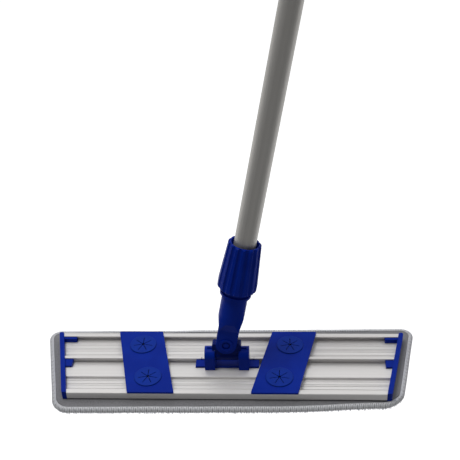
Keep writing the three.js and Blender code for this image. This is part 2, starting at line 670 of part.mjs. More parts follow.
// The closed top, with a flat eye to hang the mop by.
function gripEnd() {
  const cup = turned([
    [0, POLE_END + REST], [GRIP_RADIUS, POLE_END + REST], [GRIP_RADIUS, POLE_END + 5],
    [GRIP_RADIUS - 5, POLE_END + CUP_HEIGHT], [0, POLE_END + CUP_HEIGHT],
  ]);
  const stem = rod(POLE_RADIUS - POLE_WALL - LOOSE, POLE_END - 20, POLE_END + 1);
  const eyeZ = POLE_END + CUP_HEIGHT + EYE_ABOVE_CUP;
  const thick = TAB_THICKNESS / 2;
  const tab = box([-TAB_HALF, -thick, POLE_END + CUP_HEIGHT - 3], [TAB_HALF, thick, eyeZ])
    .add(rodAlongY(TAB_HALF, -thick, thick, eyeZ, 32));
  return unite([cup, stem, tab]).subtract(rodAlongY(EYE_RADIUS, -TAB_THICKNESS, TAB_THICKNESS, eyeZ, 24));
}

// ---------------------------------------------------------------- pad

const PAD_BACK = HALF_DEPTH + 18;   // long edge of the pad
const PAD_FRONT = -HALF_DEPTH - 13;
const PAD_SIDE = 12.5;         // how far the pad stands out past the frame's ends
const PILE_TOP = 4.4;
const FOAM_TOP = 7.2;
const PAD_TOP = WEB_BOTTOM - REST - HOOK_THICKNESS - REST;
const BINDING_WIDTH = 7;
const BINDING_TOP = PAD_TOP + 0.5;
const BINDING_BOTTOM = 0.9;
const BINDING_FOLD = 1.2;      // thickness of the tape where it is folded round the layers
const PAD_CORNERS = [22, 22, 14, 14];

function padPlan(inset) {
  const plan = taperedPlan(BACK_HALF + PAD_SIDE - inset, PAD_FRONT + inset, PAD_BACK - inset);
  return roundedShape(plan, PAD_CORNERS.map((radius) => radius - inset));
}

function padLayer(inset, z0, z1) {
  return raised(padPlan(inset), z0, z1, 8);
}

// The binding tape is folded round the edges of the three layers.
function padBinding() {
  const outside = padLayer(0, BINDING_BOTTOM, BINDING_TOP);
  const layers = padLayer(BINDING_FOLD, BINDING_BOTTOM + 1, PAD_TOP + 0.05);
  const inner = padLayer(BINDING_WIDTH, -1, PAD_TOP + 5);
  return outside.subtract(layers).subtract(inner);
}

function padFace() {
  const middle = padLayer(BINDING_WIDTH + LOOSE, 0, PILE_TOP - REST);
  return middle.add(padLayer(BINDING_FOLD + LOOSE, BINDING_BOTTOM + 1.1, PILE_TOP - REST));
}

// ---------------------------------------------------------------- assembly

const head = new THREE.Group();
head.name = 'mop_head';
head.add(piece('frame_profile', frameProfile(), frameAluminium()));
head.add(piece('end_cap_right', endCap(), bluePlastic()));
head.add(piece('end_cap_left', endCap().mirror([1, 0, 0]), bluePlastic()));
head.add(piece('hook_strip_back', hookStrip(HALF_DEPTH - HOOK_INSET - HOOK_WIDTH, HALF_DEPTH - HOOK_INSET),
  fabric(0x1d1e20)));
head.add(piece('hook_strip_front', hookStrip(-HALF_DEPTH + HOOK_INSET, -HALF_DEPTH + HOOK_INSET + HOOK_WIDTH),
  fabric(0x1d1e20)));

const PLATES = [['left', LEFT_PLATE_X, -1], ['right', RIGHT_PLATE_X, 1]];
for (const [label, x, side] of PLATES) {
  head.add(piece(`cloth_grip_plate_${label}`, gripPlate(x, side), bluePlastic()));
  for (const [row, end] of [['front', -1], ['back', 1]]) {
    head.add(piece(`star_grip_${label}_${row}`, starGrip(x, side, end), blueRubber()));
  }
}

head.add(piece('joint_base', jointBase(), bluePlastic()));
head.add(piece('hinge_pin', hingePin(), steel()));
head.add(piece('rail_lock_pin_left', lockPin(-1), steel()));
head.add(piece('rail_lock_pin_right', lockPin(1), steel()));

const cross = new THREE.Group();
cross.name = 'swivel';
cross.position.set(0, 0, HINGE_Z);
cross.rotation.x = -LEAN_BACK * Math.PI / 180;
cross.add(piece('swivel_yoke', yoke(), bluePlastic()));

const handle = new THREE.Group();
handle.name = 'handle';
handle.position.set(0, 0, SWING_UP);
handle.rotation.y = LEAN_RIGHT * Math.PI / 180;
handle.add(piece('fork_socket', socket(), bluePlastic()));
handle.add(piece('swing_pin', swingPin(), bluePlastic()));
handle.add(piece('clamp_cone', clampCone(), bluePlastic()));
handle.add(piece('clamp_nut', clampNut(), bluePlastic()));
handle.add(piece('pole_tube', tube(POLE_RADIUS, POLE_RADIUS - POLE_WALL, POLE_START, POLE_END), poleAluminium()));
handle.add(piece('pole_plug', polePlug(), bluePlastic()));
handle.add(piece('hand_grip', handGrip(), bluePlastic()));
handle.add(piece('grip_end', gripEnd(), bluePlastic()));
cross.add(handle);

const pad = new THREE.Group();
pad.name = 'pad';
pad.add(piece('pad_microfibre_face', padFace(), fabric(0xd7dbe2)));
pad.add(piece('pad_foam_core', padLayer(BINDING_FOLD + LOOSE, PILE_TOP, FOAM_TOP), fabric(0xe8e6df)));
pad.add(piece('pad_loop_backing', padLayer(BINDING_FOLD + LOOSE, FOAM_TOP + REST, PAD_TOP), fabric(0x8f9297)));
pad.add(piece('pad_binding', padBinding(), fabric(0xc9cdd3)));

const mop = new THREE.Group();
mop.name = 'flat_mop';
mop.add(head, cross, pad);

export default mop;
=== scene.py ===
# %% [markdown]
# # A flat mop, finished piece by piece
#
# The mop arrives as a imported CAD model: an aluminium frame, a plastic swivel, a pole and a
# cloth pad, each as its own node on its own moving body. This lesson gives every node its
# finish and builds the pieces that CAD leaves plain, above all the soft pad.
# Everything is in metres, and every CAD piece already has its place, so none is moved here.

import json
import math
import random

import bmesh
import bpy
from mathutils import Matrix, Vector, noise

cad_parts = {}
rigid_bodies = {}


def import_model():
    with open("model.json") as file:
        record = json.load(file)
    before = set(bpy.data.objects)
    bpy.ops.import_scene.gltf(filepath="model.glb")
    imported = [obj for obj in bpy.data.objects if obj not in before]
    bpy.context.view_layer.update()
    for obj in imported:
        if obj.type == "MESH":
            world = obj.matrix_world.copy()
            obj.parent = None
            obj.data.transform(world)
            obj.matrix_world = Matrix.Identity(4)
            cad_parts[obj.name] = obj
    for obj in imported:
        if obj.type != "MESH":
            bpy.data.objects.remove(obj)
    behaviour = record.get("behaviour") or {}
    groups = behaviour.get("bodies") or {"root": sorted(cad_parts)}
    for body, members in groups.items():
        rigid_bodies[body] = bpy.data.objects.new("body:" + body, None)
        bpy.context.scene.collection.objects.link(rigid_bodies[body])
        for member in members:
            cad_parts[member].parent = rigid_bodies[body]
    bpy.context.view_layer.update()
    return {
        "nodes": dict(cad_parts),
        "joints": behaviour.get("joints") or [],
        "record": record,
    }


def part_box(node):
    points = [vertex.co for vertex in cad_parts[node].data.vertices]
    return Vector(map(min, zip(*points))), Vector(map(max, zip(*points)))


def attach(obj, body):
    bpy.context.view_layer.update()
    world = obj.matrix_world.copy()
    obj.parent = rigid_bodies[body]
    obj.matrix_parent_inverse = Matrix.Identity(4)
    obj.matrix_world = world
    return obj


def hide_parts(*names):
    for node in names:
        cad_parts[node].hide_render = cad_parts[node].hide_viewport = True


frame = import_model()
MM = 0.001

# %% [markdown]
# ## The pole's own axes
#
# The pole leans, so a grain that runs along it can't use the world's axes. The record says
# where the swivel's pins are and which way the pole points. From those comes one turned
# frame: its Z runs up the pole and its Y runs along the swing pin.

# %% Find the pole's axes
joints = {joint["name"]: joint for joint in frame["joints"]}
swing_point = Vector(joints["pole_swing"]["pos_m"])
pole_axis = Vector(joints["clamp_turn"]["axis"]).normalized()
swing_axis = Vector(joints["pole_swing"]["axis"]).normalized()
side_axis = swing_axis.cross(pole_axis).normalized()
pole_turn = Matrix((side_axis, swing_axis, pole_axis)).transposed()
pole_euler = pole_turn.to_euler("XYZ")
print("pole leans", round(math.degrees(pole_axis.angle(Vector((0, 0, 1)))), 2), "degrees")

# %% [markdown]
# ## Shader maths that reads like maths
#
# A finish is a network of nodes. Wiring them by hand hides the idea, so one small class
# wraps an output socket and lets Python's own operators add the Math nodes. Every other
# node comes from one method, which sets the node's options first and its sockets second.


# %% Wrap a socket
class Wire:
    """An output socket that Python arithmetic can use."""

    def __init__(self, recipe, socket):
        self.recipe = recipe
        self.socket = socket

    def math(self, operation, *values):
        return self.recipe.node("ShaderNodeMath", {"operation": operation}, dict(enumerate(values)))

    def __add__(self, other):
        return self.math("ADD", self, other)

    __radd__ = __add__

    def __sub__(self, other):
        return self.math("SUBTRACT", self, other)

    def __rsub__(self, other):
        return self.math("SUBTRACT", other, self)

    def __mul__(self, other):
        return self.math("MULTIPLY", self, other)

    __rmul__ = __mul__

    def sine(self):
        return self.math("SINE", self)

    def size(self):
        return self.math("ABSOLUTE", self)

    def over(self, other):
        return self.math("GREATER_THAN", self, other)

    def clamped(self):
        settings = {"operation": "ADD", "use_clamp": True}
        return self.recipe.node("ShaderNodeMath", settings, {0: self, 1: 0.0})


class Recipe:
    """The nodes of one finish, and the shader that they feed."""

    def __init__(self, finish, shader="Principled BSDF"):
        self.finish = finish
        finish.use_nodes = True
        self.tree = finish.node_tree
        self.shader = self.tree.nodes[shader]

    @classmethod
    def named(cls, name):
        return cls(bpy.data.materials.new(name))

    def node(self, kind, settings=None, inputs=None, output=0):
        made = self.tree.nodes.new(kind)
        for key, value in (settings or {}).items():
            if key == "stops":
                self.set_stops(made.color_ramp, value)
            else:
                setattr(made, key, value)
        for key, value in (inputs or {}).items():
            self.feed(made.inputs[key], value)
        return Wire(self, made.outputs[output])

    def set_stops(self, ramp, stops):
        while len(ramp.elements) < len(stops):
            ramp.elements.new(1.0)
        for element, (position, colour) in zip(ramp.elements, stops):
            element.position = position
            element.color = (*colour, 1.0)

    def feed(self, socket, value):
        if isinstance(value, Wire):
            self.tree.links.new(value.socket, socket)
        elif isinstance(value, (tuple, list)) and socket.type == "RGBA":
            socket.default_value = (*value[:3], 1.0)
        else:
            socket.default_value = value

    def place(self):
        """Object coordinates: where a point is on the mop, in metres."""
        return self.node("ShaderNodeTexCoord", output="Object")

    def carried(self, attribute):
        """A number that the piece's own points carry."""
        return self.node("ShaderNodeAttribute", {"attribute_name": attribute}, output="Fac")

    def along_pole(self):
        """The same point in the pole's own axes."""
        return self.node("ShaderNodeMapping", {"vector_type": "TEXTURE"}, {
            "Vector": self.place(), "Location": swing_point, "Rotation": pole_euler})

    def stretched(self, vector, scale):
        return self.node("ShaderNodeMapping", {}, {"Vector": vector, "Scale": scale})

    def noise(self, vector, scale, detail=2.0, roughness=0.5):
        return self.node("ShaderNodeTexNoise", {}, {
            "Vector": vector, "Scale": scale, "Detail": detail, "Roughness": roughness}, "Fac")

    def cells(self, vector, scale):
        return self.node("ShaderNodeTexVoronoi", {"feature": "F1"}, {
            "Vector": vector, "Scale": scale}, "Distance")

    def part(self, vector, axis):
        return self.node("ShaderNodeSeparateXYZ", {}, {"Vector": vector}, axis)

    def mix(self, factor, first, second):
        return self.node("ShaderNodeMix", {"data_type": "RGBA"}, {0: factor, 6: first, 7: second}, 2)

    def ramp(self, factor, stops):
        return self.node("ShaderNodeValToRGB", {"stops": stops}, {"Fac": factor}, "Color")

    def bump(self, height, distance):
        inputs = {"Height": height, "Distance": distance, "Strength": 1.0}
        return self.node("ShaderNodeBump", {}, inputs, "Normal")

    def surface(self, **values):
        for key, value in values.items():
            self.feed(self.shader.inputs[key.replace("_", " ")], value)
        return self.finish


print("shader maths ready")

# %% [markdown]
# ## Moulded blue plastic
#
# Caps, plates, swivel and clamp are one bright blue, injection-moulded in polypropylene.
# The mould is lightly spark-eroded, so the surface has a very fine pebble. Handling leaves
# the finish slightly cloudy: roughness drifts over centimetres and a few hair-thin
# scratches catch the light. The blue itself only shifts by a few percent. The yoke is given a
# darker blue than its neighbours, which stands for the deep shade it sits in between the ears.


# %% Mix the moulded plastic
PLASTIC_BLUE = (0.0002, 0.0215, 0.310)
PLASTIC_PALE = (0.0012, 0.0310, 0.390)
PLASTIC_DEEP = (0.0001, 0.0160, 0.255)
SHADED = 0.45          # how much of the blue the yoke keeps
SCRATCH_LEVEL = 0.66   # only the highest part of the noise shows as a scratch
SCRATCH_STRETCH = (900, 60, 240)
DRIFT_MIDDLE = 0.45


def moulded_plastic(name="moulded_blue", rough=0.36, pebble=0.05, shade=1.0):
    deep, middle, pale = (
        tuple(shade * value for value in tone) for tone in (PLASTIC_DEEP, PLASTIC_BLUE, PLASTIC_PALE))
    recipe = Recipe.named(name)
    place = recipe.place()
    drift = recipe.noise(place, 38, 4)
    cloud = recipe.noise(place, 9, 2)
    grain = recipe.noise(place, 2600, 2)
    scratch_lines = recipe.noise(recipe.stretched(place, SCRATCH_STRETCH), 1.0, 3)
    scratches = (scratch_lines - SCRATCH_LEVEL).over(0.0)
    colour = recipe.mix(cloud * 0.9, deep, middle)
    colour = recipe.mix((drift - DRIFT_MIDDLE) * 1.4, colour, pale)
    roughness = rough + (drift - 0.5) * 0.16 + scratches * 0.1
    height = grain + drift * 2.0
    return recipe.surface(
        Base_Color=colour, Roughness=roughness, Normal=recipe.bump(height, pebble * MM),
        IOR=1.49, Specular_IOR_Level=0.07)


blue = moulded_plastic()
grip_blue = moulded_plastic("moulded_grip_blue", 0.5, 0.12)
pale_blue = moulded_plastic("moulded_pin_blue", 0.4, 0.05)
yoke_blue = moulded_plastic("moulded_yoke_blue", 0.42, 0.05, SHADED)
print("mixed:", blue.name, grip_blue.name, pale_blue.name, yoke_blue.name)

# %% [markdown]
# ## Soft blue rubber
#
# The star grips are a softer, slightly greener blue than the plates they sit in, so a cloth
# can be pushed through without tearing. Rubber scatters more and shines less. The slits and
# each disc's upright edge are painted near-black as painted shade, from a height on the piece
# itself: unlike a direction in the room, a height stays put when the head is tipped.


# %% Mix the rubber
PAINTED_SHADE_BLUE = (0.0002, 0.0040, 0.0350)
PAINTED_SHADE_DEPTH = 0.45 * MM   # painted shade starts this far below a disc's face
PAINTED_SHADE_FADE = 0.25 * MM


def soft_rubber():
    recipe = Recipe.named("soft_rubber_blue")
    place = recipe.place()
    drift = recipe.noise(place, 120, 4)
    grain = recipe.noise(place, 3200, 2)
    face_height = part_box("star_grip_left_front")[1][2]
    above_edge = recipe.part(place, "Z") - (face_height - PAINTED_SHADE_DEPTH)
    outside_painted_shade = (above_edge * (1.0 / PAINTED_SHADE_FADE)).clamped()
    colour = recipe.mix(drift, (0.0002, 0.0220, 0.250), (0.0012, 0.0320, 0.350))
    # Painted shade: below that height the disc's edge and its slits turn near-black.
    colour = recipe.mix(outside_painted_shade, PAINTED_SHADE_BLUE, colour)
    return recipe.surface(
        Base_Color=colour, Roughness=0.5 + (drift - 0.5) * 0.2,
        Normal=recipe.bump(grain, 0.05 * MM), IOR=1.5, Specular_IOR_Level=0.09)


rubber = soft_rubber()
print("mixed:", rubber.name)

# %% [markdown]
# ## Two kinds of aluminium
#
# The frame is an extrusion: the die leaves lines along its length, and anodising turns them
# silky: its skin is half milky oxide and half bare metal. The pole is a drawn tube with the
# same kind of lines along its own axis, but a greyer, smoother anodised skin. Both are a
# noise pulled out along one axis, thousands of times finer across than along. Small dents
# and rub marks break the evenness.


# %% Mix the aluminium
def drawn_metal(name, vector_of, stretch, tones, rough, line_depth, bare=1.0):
    recipe = Recipe.named(name)
    vector = vector_of(recipe)
    lines = recipe.noise(recipe.stretched(vector, stretch), 1.0, 3, 0.6)
    broad = recipe.noise(recipe.stretched(vector, [value * 0.12 for value in stretch]), 1.0, 2)
    handling = recipe.noise(recipe.place(), 16, 5, 0.6)
    colour = recipe.ramp(lines * 0.5 + broad * 0.5, [(0.3, tones[0]), (0.7, tones[1])])
    roughness = rough + (lines - 0.5) * 0.14 + (handling - 0.5) * 0.22
    return recipe.surface(
        Base_Color=colour, Metallic=bare, Roughness=roughness,
        Normal=recipe.bump(lines + broad * 0.6, line_depth * MM))


frame_metal = drawn_metal(
    "extruded_aluminium", lambda recipe: recipe.place(), (3.0, 1500.0, 1500.0),
    ((0.69, 0.675, 0.665), (0.80, 0.785, 0.775)), 0.50, 0.004, 0.45)
pole_metal = drawn_metal(
    "anodised_tube", lambda recipe: recipe.along_pole(), (1400.0, 1400.0, 2.0),
    ((0.42, 0.41, 0.39), (0.52, 0.51, 0.485)), 0.48, 0.005, 0.6)
pin_metal = drawn_metal(
    "pin_steel", lambda recipe: recipe.place(), (400.0, 900.0, 900.0),
    ((0.5, 0.5, 0.51), (0.66, 0.66, 0.67)), 0.3, 0.01)
print("mixed:", frame_metal.name, pole_metal.name, pin_metal.name)

# %% [markdown]
# ## Softened edges
#
# A CAD solid has edges of no width, and such an edge never catches the light. Moulded and
# extruded pieces have a radius of a few tenths of a millimetre. A CAD node's own mesh is
# left alone, so each hard piece gets a copy: its loose triangles are merged, flat areas are
# joined up again, and the sharp edges are bevelled. The copy stands in for the node.


# %% Make a softened copy of a CAD node
SHARP = math.radians(28)
SMOOTH_UNDER = math.radians(33)
FLAT = math.radians(0.5)       # faces that turn less than this are one flat area
SAME_POINT = 1e-6
EDGE_SEGMENTS = 2
SHORTEST_EDGE = 2.2            # in edge widths: a shorter edge can't take its radius


def merged_copy(node_name):
    bm = bmesh.new()
    bm.from_mesh(frame["nodes"][node_name].data)
    bmesh.ops.remove_doubles(bm, verts=bm.verts, dist=SAME_POINT)
    bmesh.ops.dissolve_limit(
        bm, angle_limit=FLAT, verts=bm.verts, edges=bm.edges,
        use_dissolve_boundaries=False, delimit={"NORMAL"})
    bmesh.ops.connect_verts_concave(bm, faces=bm.faces)
    return bm


def keep_mesh(bm, name, material, smooth_under=SMOOTH_UNDER):
    mesh = bpy.data.meshes.new(name)
    bm.to_mesh(mesh)
    bm.free()
    mesh.shade_smooth()
    mesh.set_sharp_from_angle(angle=smooth_under)
    mesh.materials.append(material)
    piece = bpy.data.objects.new(name, mesh)
    bpy.context.scene.collection.objects.link(piece)
    return piece


def body_of(node_name):
    bodies = frame["record"]["behaviour"]["bodies"]
    return next(body for body, members in bodies.items() if node_name in members)


def slot_of(node_name):
    subparts = frame["record"]["subparts"]
    return next(row["material_slot"] for row in subparts if row["node"] == node_name)


def softened(node_name, edge_width, material):
    bm = merged_copy(node_name)
    long_enough = edge_width * SHORTEST_EDGE
    edges = [
        edge for edge in bm.edges
        if len(edge.link_faces) == 2
        and edge.calc_face_angle(0.0) > SHARP
        and edge.calc_length() > long_enough
    ]
    if edges:
        bmesh.ops.bevel(
            bm, geom=edges, offset=edge_width, offset_type="OFFSET", affect="EDGES",
            segments=EDGE_SEGMENTS, profile=0.5, material=-1, clamp_overlap=True)
    many_sided = [face for face in bm.faces if len(face.verts) > 4]
    bmesh.ops.triangulate(bm, faces=many_sided, quad_method="BEAUTY", ngon_method="BEAUTY")
    piece = keep_mesh(bm, node_name + "_fine", material)
    even = piece.modifiers.new("even_shading", "WEIGHTED_NORMAL")
    even.keep_sharp = True
    even.weight = 100
    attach(piece, body_of(node_name))
    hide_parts(node_name)
    slot_of(node_name)
    print(f"{node_name}: {len(edges)} edges softened, {len(piece.data.polygons)} faces")
    return piece


# %% Soften the hard pieces
HARD_PIECES = [
    ("frame_profile", 0.15, frame_metal),
    ("end_cap_right", 0.5, blue),
    ("end_cap_left", 0.5, blue),
    ("cloth_grip_plate_left", 0.35, blue),
    ("cloth_grip_plate_right", 0.35, blue),
    ("star_grip_left_front", 0.12, rubber),
    ("star_grip_left_back", 0.12, rubber),
    ("star_grip_right_front", 0.12, rubber),
    ("star_grip_right_back", 0.12, rubber),
    ("joint_base", 0.4, blue),
    ("hinge_pin", 0.3, pin_metal),
    ("rail_lock_pin_left", 0.2, pin_metal),
    ("rail_lock_pin_right", 0.2, pin_metal),
    ("swivel_yoke", 0.4, yoke_blue),
    ("fork_socket", 0.4, blue),
    ("swing_pin", 0.3, pale_blue),
    ("clamp_cone", 0.2, blue),
    ("clamp_nut", 0.3, blue),
    ("pole_tube", 0.15, pole_metal),
    ("pole_plug", 0.3, blue),
    ("hand_grip", 0.5, grip_blue),
    ("grip_end", 0.5, blue),
]
for node_name, width_mm, material in HARD_PIECES:
    softened(node_name, width_mm * MM, material)

# %% [markdown]
# ## The outline that every layer of the pad shares
#
# The pad is a long trapezium with round corners. Its layers, its edging tape and its stitches
# all follow that one outline, so it is worked out once, as straight runs joined by arcs. A
# distance along the edge then gives a point there and the direction straight out of it.

# %% Work out the pad's outline
PAD_LOW, PAD_HIGH = (Vector(corner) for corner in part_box("pad_binding"))
PAD_LOW.y -= 1.0 * MM
PAD_HIGH.y += 2.0 * MM
FRAME_HALF_LENGTH = 212 * MM
FRAME_HALF_DEPTH = 53 * MM
PAD_PROUD = 12.5 * MM
END_SLANT = 0.22
PAD_TURN = Matrix.Rotation(math.radians(0.75), 4, "Z")  # nobody lays the frame on quite square
FRONT_LEFT_CORNER = 22 * MM
FRONT_RIGHT_CORNER = 26 * MM
BACK_CORNER = 14 * MM


def pad_half_length(y):
    return FRAME_HALF_LENGTH + PAD_PROUD - END_SLANT * (FRAME_HALF_DEPTH - y)


def corner_radius(x, y):
    """The front right corner is cut a little rounder than its neighbour."""
    if y > 0:
        return BACK_CORNER
    return FRONT_LEFT_CORNER if x < 0 else FRONT_RIGHT_CORNER


def corner_points():
    points = []
    for y, order in ((PAD_LOW[1], (-1, 1)), (PAD_HIGH[1], (1, -1))):
        for side in order:
            corner = PAD_TURN @ Vector((side * pad_half_length(y), y, 0))
            points.append((corner.xy, corner_radius(side, y)))
    return points


def corner_arc(before, corner, after, radius):
    """Centre, first angle and turn of the arc that rounds one corner."""
    into, out_of = (corner - before).normalized(), (after - corner).normalized()
    turn = math.atan2(into.x * out_of.y - into.y * out_of.x, into.dot(out_of))
    start = corner - into * radius * math.tan(turn / 2)
    centre = start + Vector((-into.y, into.x)) * radius
    return centre, math.atan2(start.y - centre.y, start.x - centre.x), turn


def outline_runs():
    """The edge as arcs and straight runs, each with its length and a function of distance."""
    corners = corner_points()
    arcs = []
    for index, (corner, radius) in enumerate(corners):
        before, after = corners[index - 1][0], corners[(index + 1) % 4][0]
        arcs.append((*corner_arc(before, corner, after, radius), radius))
    runs = []
    for index, (centre, angle, turn, radius) in enumerate(arcs):
        runs.append((radius * turn, lambda s, c=centre, a=angle, r=radius: round_point(c, a + s / r, r)))
        next_centre, next_angle, _, next_radius = arcs[(index + 1) % 4]
        start, _ = round_point(centre, angle + turn, radius)
        end, _ = round_point(next_centre, next_angle, next_radius)
        runs.append(((end - start).length, lambda s, a=start, b=end: straight_point(a, b, s)))
    return runs


def round_point(centre, angle, radius):
    out = Vector((math.cos(angle), math.sin(angle)))
    return centre + out * radius, out


def straight_point(start, end, distance):
    along = (end - start).normalized()
    return start + along * distance, Vector((along.y, -along.x))


RUNS = outline_runs()
EDGE_LENGTH = sum(length for length, _ in RUNS)


def edge_point(distance):
    distance %= EDGE_LENGTH
    for length, point_at in RUNS:
        if distance <= length:
            return point_at(distance)
        distance -= length
    return RUNS[-1][1](RUNS[-1][0])


print("pad edge", round(EDGE_LENGTH, 3), "m round, with the cloth's edge standing 1 to 2 mm proud")

# %% [markdown]
# ## A pad that has been washed
#
# Under the frame the pad is pulled flat by its hook strips, but its free rim is never quite
# level or straight. One slow noise lifts and shifts every layer alike, and fades to nothing
# under the frame, so the layers stay together. One corner is also drawn in, as a pad does
# where its loops took hold a little askew.

# %% Let the rim ripple
RIPPLE = 0.55 * MM
RIPPLE_SCALE = 16.0
FINER_RIPPLE = 2.7
FREE_AFTER = 9 * MM     # from this far outside the frame the rim is wholly free
CORNER_PULL = 6.0 * MM
PULL_FROM_X = 50 * MM
PULL_LENGTH = 150 * MM
PULL_FROM_Y = 36 * MM
PULL_WIDTH = 22 * MM


def outside_frame(x, y):
    """0 under the frame, rising to 1 a few millimetres outside it."""
    beyond_side = abs(x) - (FRAME_HALF_LENGTH - END_SLANT * (FRAME_HALF_DEPTH - y))
    beyond_edge = abs(y) - FRAME_HALF_DEPTH
    return min(1.0, max(0.0, max(beyond_side, beyond_edge) / FREE_AFTER))


def eased(value):
    value = min(1.0, max(0.0, value))
    return value * value * (3 - 2 * value)


def pulled_in(co):
    """The front right corner of the pad is drawn in towards the frame."""
    along = eased((co.x - PULL_FROM_X) / PULL_LENGTH)
    across = eased((-co.y - PULL_FROM_Y) / PULL_WIDTH)
    return co + Vector((0, CORNER_PULL * along * across, 0))


def rippled(co):
    free = outside_frame(co.x, co.y)
    co = pulled_in(co)
    if free == 0.0:
        return co
    here = Vector((co.x, co.y, 0)) * RIPPLE_SCALE
    lift = noise.noise(here) + 0.5 * noise.noise(here * FINER_RIPPLE)
    shift = noise.noise(here + Vector((7, 3, 1)))
    outward = Vector((co.x * 0.3, co.y, 0)).normalized()
    return co + Vector((0, 0, lift * RIPPLE * free)) + outward * shift * RIPPLE * free


def ripple_mesh(mesh):
    for vert in mesh.vertices:
        vert.co = rippled(vert.co)


print("ripple up to", RIPPLE / MM, "mm")

# %% [markdown]
# ## The padded body
#
# Between its pile and its backing the pad holds a thin foam. A slab with rounded corners is
# remeshed into even small faces and blown up a little as cloth, which gives the soft crown
# that a sewn pad has. Its growth is capped, because under the frame it can't rise. The
# backing is a brushed knit with tiny loops that the hook strips hold on to.


# %% Knit the loop backing
def loop_knit():
    recipe = Recipe.named("loop_backing_knit")
    place = recipe.place()
    loops = recipe.cells(place, 1300)
    tangle = recipe.noise(place, 2100, 3, 0.7)
    rubbed = recipe.noise(place, 45, 4, 0.6)
    colour = recipe.ramp(loops * 0.55 + tangle * 0.45, [
        (0.15, (0.330, 0.330, 0.345)), (0.75, (0.150, 0.150, 0.158))])
    colour = recipe.mix(rubbed * 0.5, colour, (0.255, 0.255, 0.268))
    return recipe.surface(
        Base_Color=colour, Roughness=0.95, Specular_IOR_Level=0.1, Sheen_Weight=0.15, Sheen_Roughness=0.6,
        Normal=recipe.bump(tangle - loops * 0.8, 0.35 * MM))


backing_knit = loop_knit()


# %% Cut and blow up the padded body
BODY_INSET = 2.4 * MM
BODY_LOW = 3.2 * MM
BODY_HIGH = 8.0 * MM
BODY_VOXEL = 2.6 * MM
CROWN_CAP = 1.0 * MM
PRESSURE = 4.0
SWELL_FRAMES = 20
CORNER_SEGMENTS = 8
FLAT_TOP = 8.9 * MM
RIM_DROP = 0.9 * MM    # the free rim is sewn down thinner than the part under the frame


def rounded_slab(inset, low, high):
    """A closed slab of the pad's outline, its upright corners bevelled round."""
    bm = bmesh.new()
    bmesh.ops.create_cube(bm, size=1.0)
    front, back_edge = PAD_LOW[1] + inset, PAD_HIGH[1] - inset
    for vert in bm.verts:
        y = back_edge if vert.co.y > 0 else front
        x = math.copysign(pad_half_length(y) - inset, vert.co.x)
        vert.co = Vector((x, y, high if vert.co.z > 0 else low))
    for row, side in ((front, -1), (front, 1), (back_edge, -1), (back_edge, 1)):
        upright = [
            edge for edge in bm.edges
            if all(abs(vert.co.y - row) < SAME_POINT and vert.co.x * side > 0 for vert in edge.verts)
            and abs(edge.verts[0].co.z - edge.verts[1].co.z) > SAME_POINT
        ]
        bmesh.ops.bevel(
            bm, geom=upright, offset=corner_radius(side, row) - inset, offset_type="OFFSET",
            affect="EDGES", segments=CORNER_SEGMENTS, profile=0.5, material=-1)
    bmesh.ops.transform(bm, matrix=PAD_TURN, verts=bm.verts)
    return bm


def remeshed(mesh, voxel):
    """The same closed shape in even small faces."""
    holder = bpy.data.objects.new("remesh_holder", mesh)
    bpy.context.scene.collection.objects.link(holder)
    remesh = holder.modifiers.new("even", "REMESH")
    remesh.mode = "VOXEL"
    remesh.voxel_size = voxel
    even = evaluated_mesh(holder)
    bpy.data.objects.remove(holder)
    return even


def evaluated_mesh(piece):
    graph = bpy.context.evaluated_depsgraph_get()
    graph.update()
    return bpy.data.meshes.new_from_object(piece.evaluated_get(graph), depsgraph=graph)


def blown_up(mesh, pressure, cap, frames):
    """Each point after a short inflation as cloth, moved no further than the cap."""
    holder = bpy.data.objects.new("cloth_holder", mesh)
    bpy.context.scene.collection.objects.link(holder)
    before = [vert.co.copy() for vert in mesh.vertices]
    cloth = holder.modifiers.new("inflate", "CLOTH")
    cloth.settings.use_pressure = True
    cloth.settings.uniform_pressure_force = pressure
    cloth.settings.effector_weights.gravity = 0.0
    cloth.settings.quality = 4
    cloth.collision_settings.use_collision = False
    cloth.point_cache.frame_start = 1
    cloth.point_cache.frame_end = frames
    for number in range(1, frames + 1):
        bpy.context.scene.frame_set(number)
    swollen = evaluated_mesh(holder)
    bpy.context.scene.frame_set(1)
    bpy.data.objects.remove(holder)
    for vert, start in zip(swollen.vertices, before):
        move = vert.co - start
        if move.length > cap:
            vert.co = start + move * (cap / move.length)
    return swollen


def padded_body():
    slab = bpy.data.meshes.new("pad_slab")
    bm = rounded_slab(BODY_INSET, BODY_LOW, BODY_HIGH)
    bm.to_mesh(slab)
    bm.free()
    body = remeshed(slab, BODY_VOXEL)
    body = blown_up(body, PRESSURE, CROWN_CAP, SWELL_FRAMES)
    for vert in body.vertices:
        level = FLAT_TOP - RIM_DROP * outside_frame(vert.co.x, vert.co.y)
        vert.co.z = min(vert.co.z, level)
    bm = bmesh.new()
    bm.from_mesh(body)
    bmesh.ops.smooth_vert(bm, verts=bm.verts, factor=0.5, use_axis_x=True, use_axis_y=True, use_axis_z=True)
    piece = keep_mesh(bm, "pad_body", backing_knit, math.radians(60))
    ripple_mesh(piece.data)
    round_off = piece.modifiers.new("round_off", "SUBSURF")
    round_off.levels = round_off.render_levels = 1
    return piece


pad_body = padded_body()
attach(pad_body, "pad")
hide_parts("pad_foam_core", "pad_loop_backing")
print("pad body:", len(pad_body.data.vertices), "points")
